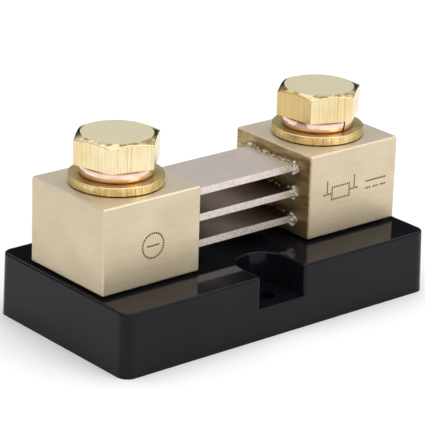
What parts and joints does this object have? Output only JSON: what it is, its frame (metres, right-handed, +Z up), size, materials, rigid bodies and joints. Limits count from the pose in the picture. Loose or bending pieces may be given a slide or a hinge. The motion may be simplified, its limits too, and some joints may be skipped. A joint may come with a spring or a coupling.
{
  "type": "battery monitor shunt",
  "caption": "Direct-current measuring shunt: brass terminal blocks joined by brazed resistance strips on a moulded black base, with hexagon terminal bolts.",
  "frame": {"origin": "middle of the base's underside", "axes": "+X from the left terminal block to the right one, -Y the front, +Z up"},
  "size_m": [0.083, 0.044, 0.0439],
  "materials": {
    "base_moulding": "glossy black moulded plastic",
    "block_brass": "brushed pale brass",
    "bolt_brass": "turned and milled brass",
    "washer_brass": "punched brass",
    "spring_bronze": "coiled phosphor bronze wire",
    "strip_manganin": "matt rolled manganin",
    "braze_silver": "lumpy silver braze",
    "screw_zinc": "zinc-plated steel"
  },
  "bodies": {
    "shunt": {"base": "base_moulding", "resistor_strip_lower": "strip_manganin", "resistor_strip_middle": "strip_manganin", "resistor_strip_upper": "strip_manganin", "terminal_block_left": "block_brass", "braze_left": "braze_silver", "flat_washer_left": "washer_brass", "sense_flat_washer_left": "washer_brass", "base_spring_washers_left": "screw_zinc", "base_screws_left": "screw_zinc", "terminal_block_right": "block_brass", "braze_right": "braze_silver", "flat_washer_right": "washer_brass", "sense_flat_washer_right": "washer_brass", "base_spring_washers_right": "screw_zinc", "base_screws_right": "screw_zinc"},
    "bolt_left_spring_washer": {"spring_washer_left": "spring_bronze"},
    "bolt_left_screw": {"terminal_bolt_left": "bolt_brass"},
    "sense_left_spring_washer": {"sense_spring_washer_left": "spring_bronze"},
    "sense_left_screw": {"sense_screw_left": "bolt_brass"},
    "bolt_right_spring_washer": {"spring_washer_right": "spring_bronze"},
    "bolt_right_screw": {"terminal_bolt_right": "bolt_brass"},
    "sense_right_spring_washer": {"sense_spring_washer_right": "spring_bronze"},
    "sense_right_screw": {"sense_screw_right": "bolt_brass"}
  },
  "joints": [
    {"name": "bolt_left_turn", "type": "hinge", "parent": "shunt", "child": "bolt_left_spring_washer", "pos_m": [-0.0275, 0, 0.0332], "axis": [0, 0, 1], "range_deg": [0, 3240]},
    {"name": "bolt_left_rise", "type": "slide", "parent": "bolt_left_spring_washer", "child": "bolt_left_screw", "axis": [0, 0, 1], "range_m": [0, 0.0135]},
    {"name": "sense_left_turn", "type": "hinge", "parent": "shunt", "child": "sense_left_spring_washer", "pos_m": [-0.0275, 0.0123, 0.02385], "axis": [0, 1, 0], "range_deg": [0, 2520]},
    {"name": "sense_left_rise", "type": "slide", "parent": "sense_left_spring_washer", "child": "sense_left_screw", "axis": [0, 1, 0], "range_m": [0, 0.0049]},
    {"name": "bolt_right_turn", "type": "hinge", "parent": "shunt", "child": "bolt_right_spring_washer", "pos_m": [0.0275, 0, 0.0332], "axis": [0, 0, 1], "range_deg": [0, 3240]},
    {"name": "bolt_right_rise", "type": "slide", "parent": "bolt_right_spring_washer", "child": "bolt_right_screw", "axis": [0, 0, 1], "range_m": [0, 0.0135]},
    {"name": "sense_right_turn", "type": "hinge", "parent": "shunt", "child": "sense_right_spring_washer", "pos_m": [0.0275, 0.0123, 0.02385], "axis": [0, 1, 0], "range_deg": [0, 2520]},
    {"name": "sense_right_rise", "type": "slide", "parent": "sense_right_spring_washer", "child": "sense_right_screw", "axis": [0, 1, 0], "range_m": [0, 0.0049]}
  ],
  "couplings": [
    {"joint": "bolt_left_turn", "follows": "bolt_left_rise", "rad_per_m": 4188.8},
    {"joint": "sense_left_turn", "follows": "sense_left_rise", "rad_per_m": 8976},
    {"joint": "bolt_right_turn", "follows": "bolt_right_rise", "rad_per_m": 4188.8},
    {"joint": "sense_right_turn", "follows": "sense_right_rise", "rad_per_m": 8976}
  ]
}
